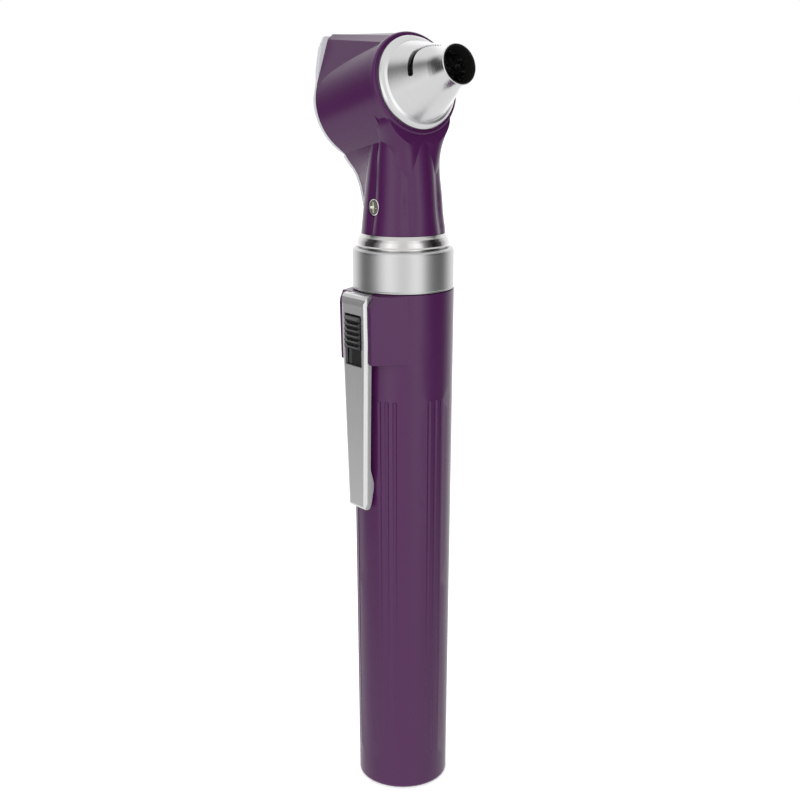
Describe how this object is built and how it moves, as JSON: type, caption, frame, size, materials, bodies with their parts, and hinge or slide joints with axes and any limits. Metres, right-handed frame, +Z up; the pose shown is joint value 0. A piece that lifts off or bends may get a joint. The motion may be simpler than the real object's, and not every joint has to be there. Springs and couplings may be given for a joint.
{
  "type": "otoscope",
  "caption": "Pocket otoscope: tapered plastic battery handle with slide switch in a metal pocket clip, satin collar, and angled head with metal ear cone and rear magnifier",
  "frame": {"origin": "centre of the flat foot of the handle", "axes": "+Z up the handle to the head, -Y the way the cone points, -X the side of the clip and switch"},
  "size_m": [0.0247, 0.0397, 0.1623],
  "materials": {
    "handle_body": "satin moulded",
    "collar": "satin",
    "clip": "satin",
    "switch_slider": "moulded",
    "switch_contact": "plain",
    "contact_strip": "plain",
    "spring_plate": "plated",
    "battery_spring": "plated",
    "battery_lower": "printed sleeve left plain",
    "battery_upper": "printed sleeve left plain",
    "head_base": "polished",
    "head_housing": "satin moulded",
    "neck_screws": "plated",
    "specula_cone": "fine turned",
    "cone_liner": "black",
    "lamp_socket": "black",
    "lamp_base": "plated",
    "lamp_bulb": "clear",
    "light_guide": "clear acrylic",
    "pin_bushing": "insulating",
    "contact_pin": "plated",
    "contact_spring": "plated",
    "rear_plate": "pale silver",
    "lens_frame": "pale grey",
    "magnifier_lens": "polished",
    "lens_pivot": "plated",
    "lens_washer": "plated"
  },
  "bodies": {
    "handle": {"handle_body": "handle_body", "collar": "collar", "spring_plate": "spring_plate", "battery_spring": "battery_spring", "battery_lower": "battery_lower", "battery_upper": "battery_upper", "contact_strip": "contact_strip"},
    "clip": {"clip": "clip"},
    "switch": {"switch_slider": "switch_slider", "switch_contact": "switch_contact"},
    "carriage": {"pin_bushing": "pin_bushing"},
    "head": {"head_base": "head_base", "head_housing": "head_housing", "neck_screws": "neck_screws", "specula_cone": "specula_cone", "cone_liner": "cone_liner", "lamp_socket": "lamp_socket", "lamp_base": "lamp_base", "lamp_bulb": "lamp_bulb", "light_guide": "light_guide", "rear_plate": "rear_plate", "lens_pivot": "lens_pivot", "lens_washer": "lens_washer"},
    "centre_pin": {"contact_pin": "contact_pin", "contact_spring": "contact_spring"},
    "lens": {"lens_frame": "lens_frame", "magnifier_lens": "magnifier_lens"}
  },
  "joints": [
    {"name": "clip_flex", "type": "hinge", "parent": "handle", "child": "clip", "pos_m": [-0.0099, 0, 0.11015], "axis": [0, 1, 0], "range_deg": [0, 4], "stiffness_Nm_per_rad": 1.2, "springref_deg": -1.72},
    {"name": "switch_slide", "type": "slide", "parent": "handle", "child": "switch", "axis": [0, 0, -1], "range_m": [0, 0.0032]},
    {"name": "head_rise", "type": "slide", "parent": "handle", "child": "carriage", "axis": [0, 0, 1], "range_m": [0, 0.0075]},
    {"name": "head_unscrew", "type": "hinge", "parent": "carriage", "child": "head", "pos_m": [0, 0, 0.1165], "axis": [0, 0, 1], "range_deg": [0, 2160]},
    {"name": "pin_press", "type": "slide", "parent": "carriage", "child": "centre_pin", "axis": [0, 0, 1], "range_m": [0, 0.0008], "stiffness_N_per_m": 300, "springref_m": -0.001, "deforming": ["contact_spring"]},
    {"name": "lens_swivel", "type": "hinge", "parent": "head", "child": "lens", "pos_m": [0, 0.01384, 0.13636], "axis": [0, 0.9636, -0.2672], "range_deg": [-100, 100]}
  ],
  "couplings": [
    {"joint": "head_rise", "follows": "head_unscrew", "m_per_rad": 0.00019894}
  ]
}
